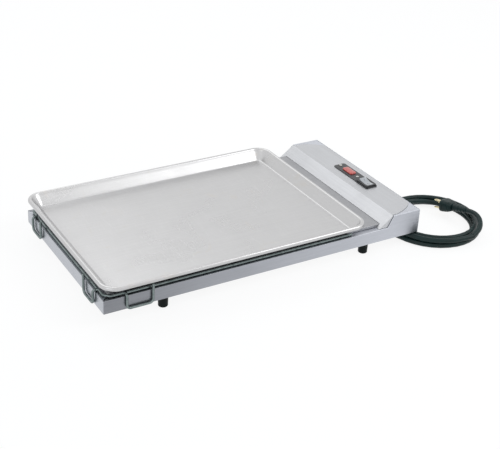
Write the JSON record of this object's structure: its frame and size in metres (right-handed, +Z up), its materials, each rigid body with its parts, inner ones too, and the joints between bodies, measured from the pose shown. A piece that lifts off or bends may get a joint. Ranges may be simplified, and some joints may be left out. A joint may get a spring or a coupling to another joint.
{
  "type": "heated shelf food warmer",
  "caption": "Low heated shelf: flat sheet-metal housing on rubber feet with a raised control end, wire guards, a lift-off sheet pan and a coiled supply cord.",
  "frame": {"origin": "middle of the bottom of the object's box, measured without the free cord, its strain relief and its plug; the feet stand on Z = 0", "axes": "+X along the housing towards the control end, +Y towards the back, +Z up"},
  "size_m": [0.7064, 0.4215, 0.0672],
  "materials": {
    "housing_steel": "satin",
    "cover_steel": "satin",
    "base_steel": "satin",
    "shelf_aluminium": "satin",
    "zinc_steel": "zinc plated",
    "heater_silicone": "matt",
    "insulation_fibre": "matt",
    "phenolic": "satin",
    "nylon": "matt",
    "control_black": "satin",
    "switch_black": "satin",
    "rocker_grey": "gloss",
    "lens_red": "gloss",
    "cord_rubber": "satin",
    "foot_rubber": "matt",
    "brass": "plated",
    "dark_wire": "satin",
    "pan_aluminium": "satin",
    "lead_red": "satin",
    "lead_black": "satin",
    "lead_white": "satin",
    "lead_green": "satin"
  },
  "bodies": {
    "housing": {"front_panel": "housing_steel", "back_panel": "housing_steel", "left_end_panel": "housing_steel", "right_end_panel": "housing_steel", "base_pan": "base_steel", "shelf_plate": "shelf_aluminium", "bay_divider": "zinc_steel", "heater_blanket": "heater_silicone", "insulation_pad": "insulation_fibre", "thermostat": "phenolic", "terminal_block": "nylon", "control_cover": "cover_steel", "control_plate": "control_black", "switch_body": "switch_black", "pilot_lens": "lens_red", "pilot_lamp": "switch_black", "plate_screw_1": "zinc_steel", "plate_screw_2": "zinc_steel", "cover_screw_1": "zinc_steel", "cover_screw_2": "zinc_steel", "strain_relief": "cord_rubber", "thermostat_lead": "lead_red", "switch_lead": "lead_black", "lamp_lead": "lead_white", "supply_lead": "lead_green", "power_cord_lead": "cord_rubber", "power_cord_coil": "cord_rubber", "power_cord_tail": "cord_rubber", "plug_body": "cord_rubber", "plug_blade_upper": "brass", "plug_blade_lower": "brass", "plug_ground_pin": "brass", "foot_front_left": "foot_rubber", "foot_front_right": "foot_rubber", "foot_back_left": "foot_rubber", "foot_back_right": "foot_rubber", "foot_screw_front_left": "zinc_steel", "foot_screw_front_right": "zinc_steel", "foot_screw_back_left": "zinc_steel", "foot_screw_back_right": "zinc_steel", "foot_nut_front_left": "zinc_steel", "foot_nut_front_right": "zinc_steel", "foot_nut_back_left": "zinc_steel", "foot_nut_back_right": "zinc_steel", "corner_guard_front": "dark_wire", "corner_guard_back": "dark_wire", "rail_front": "dark_wire", "rail_back": "dark_wire", "rail_left": "dark_wire"},
    "rocker": {"power_rocker": "rocker_grey"},
    "pan": {"sheet_pan": "pan_aluminium"}
  },
  "joints": [
    {"name": "rocker_hinge", "type": "hinge", "parent": "housing", "child": "rocker", "pos_m": [0.2567, -0.0365, 0.0618], "axis": [1, 0, 0], "range_deg": [-14, 0]},
    {"name": "pan_lift", "type": "slide", "parent": "housing", "child": "pan", "axis": [0, 0, 1], "range_m": [0, 0.12]}
  ]
}
